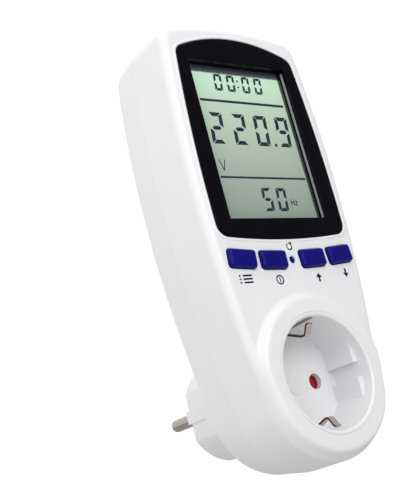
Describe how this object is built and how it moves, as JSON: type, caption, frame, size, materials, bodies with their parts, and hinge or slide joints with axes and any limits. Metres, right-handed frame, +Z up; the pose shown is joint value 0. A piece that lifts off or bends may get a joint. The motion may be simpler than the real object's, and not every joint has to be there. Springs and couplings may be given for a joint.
{
  "type": "plug in power meter",
  "caption": "Slim plug-in energy meter with a tall display, keys on an arc, a shuttered safety socket in front and a round earthed plug behind.",
  "frame": {"origin": "centre of the plug's end face, between the two pins", "axes": "+X to the right seen from the display side, +Y into the wall along the pins, +Z up along the case"},
  "size_m": [0.0708, 0.0804, 0.1628],
  "materials": {
    "shell": "fine satin",
    "insert": "fine satin",
    "surround": "polished",
    "lcd": "polariser satin",
    "film": "satin",
    "inner_white": "moulded",
    "rubber": "matte",
    "board": "solder mask",
    "black_part": "resin",
    "key": "fine texture",
    "plunger": "moulded",
    "switch": "moulded",
    "steel": "zinc plated",
    "carrier": "moulded",
    "shutter": "moulded",
    "spring": "drawn wire",
    "brass": "pressed",
    "nickel": "nickel plated",
    "pin": "nickel plated, turned",
    "lead_brown": "insulation",
    "lead_blue": "insulation",
    "capacitor": "boxed",
    "varistor": "resin",
    "can": "sleeve",
    "resistor": "lacquer",
    "shunt": "rolled",
    "battery": "shrink sleeve",
    "header": "moulded",
    "ribbon": "insulation"
  },
  "bodies": {
    "housing": {"front_case": "shell", "rear_case": "shell", "bezel_frame": "surround", "lcd_glass": "lcd", "lcd_reflector": "film", "lcd_holder": "inner_white", "zebra_strips": "rubber", "display_board": "board", "driver_blob": "black_part", "switch_bodies": "switch", "display_screws": "steel", "socket_insert": "insert", "contact_carrier": "carrier", "shutter_spring": "spring", "left_contact": "brass", "right_contact": "brass", "upper_earth_strip": "nickel", "lower_earth_strip": "nickel", "earth_link": "nickel", "left_pin": "pin", "right_pin": "pin", "pin_retainer": "carrier", "left_plug_lead": "lead_brown", "right_plug_lead": "lead_blue", "left_socket_lead": "lead_brown", "right_socket_lead": "lead_blue", "metering_board": "board", "meter_screws": "steel", "film_capacitor": "capacitor", "varistor": "varistor", "electrolytics": "can", "metering_chip": "black_part", "crystal": "steel", "fuse_resistor": "resistor", "current_shunt": "shunt", "backup_battery": "battery", "board_headers": "header", "ribbon_cable": "ribbon", "case_screws": "steel"},
    "function_key_body": {"function_key": "key", "function_plunger": "plunger"},
    "cost_key_body": {"cost_key": "key", "cost_plunger": "plunger"},
    "up_key_body": {"up_key": "key", "up_plunger": "plunger"},
    "down_key_body": {"down_key": "key", "down_plunger": "plunger"},
    "reset_body": {"reset_pin": "key", "reset_plunger": "plunger"},
    "shutter_body": {"safety_shutter": "shutter"},
    "upper_clip_body": {"upper_earth_clip": "nickel"},
    "lower_clip_body": {"lower_earth_clip": "nickel"}
  },
  "joints": [
    {"name": "function_press", "type": "slide", "parent": "housing", "child": "function_key_body", "axis": [0, 1, 0], "range_m": [0, 0.0005], "stiffness_N_per_m": 3000, "springref_m": -0.0003},
    {"name": "cost_press", "type": "slide", "parent": "housing", "child": "cost_key_body", "axis": [0, 1, 0], "range_m": [0, 0.0005], "stiffness_N_per_m": 3000, "springref_m": -0.0003},
    {"name": "up_press", "type": "slide", "parent": "housing", "child": "up_key_body", "axis": [0, 1, 0], "range_m": [0, 0.0005], "stiffness_N_per_m": 3000, "springref_m": -0.0003},
    {"name": "down_press", "type": "slide", "parent": "housing", "child": "down_key_body", "axis": [0, 1, 0], "range_m": [0, 0.0005], "stiffness_N_per_m": 3000, "springref_m": -0.0003},
    {"name": "reset_press", "type": "slide", "parent": "housing", "child": "reset_body", "axis": [0, 1, 0], "range_m": [0, 0.0005], "stiffness_N_per_m": 3000, "springref_m": -0.0003},
    {"name": "shutter_turn", "type": "hinge", "parent": "housing", "child": "shutter_body", "pos_m": [0, -0.041, 0], "axis": [0, 1, 0], "range_deg": [0, 40], "stiffness_Nm_per_rad": 0.004, "springref_deg": -17.19},
    {"name": "upper_clip_flex", "type": "hinge", "parent": "housing", "child": "upper_clip_body", "pos_m": [0, -0.0416, 0.0176], "axis": [-1, 0, 0], "range_deg": [0, 8.5], "stiffness_Nm_per_rad": 1.2},
    {"name": "lower_clip_flex", "type": "hinge", "parent": "housing", "child": "lower_clip_body", "pos_m": [0, -0.0416, -0.0176], "axis": [1, 0, 0], "range_deg": [0, 8.5], "stiffness_Nm_per_rad": 1.2}
  ]
}
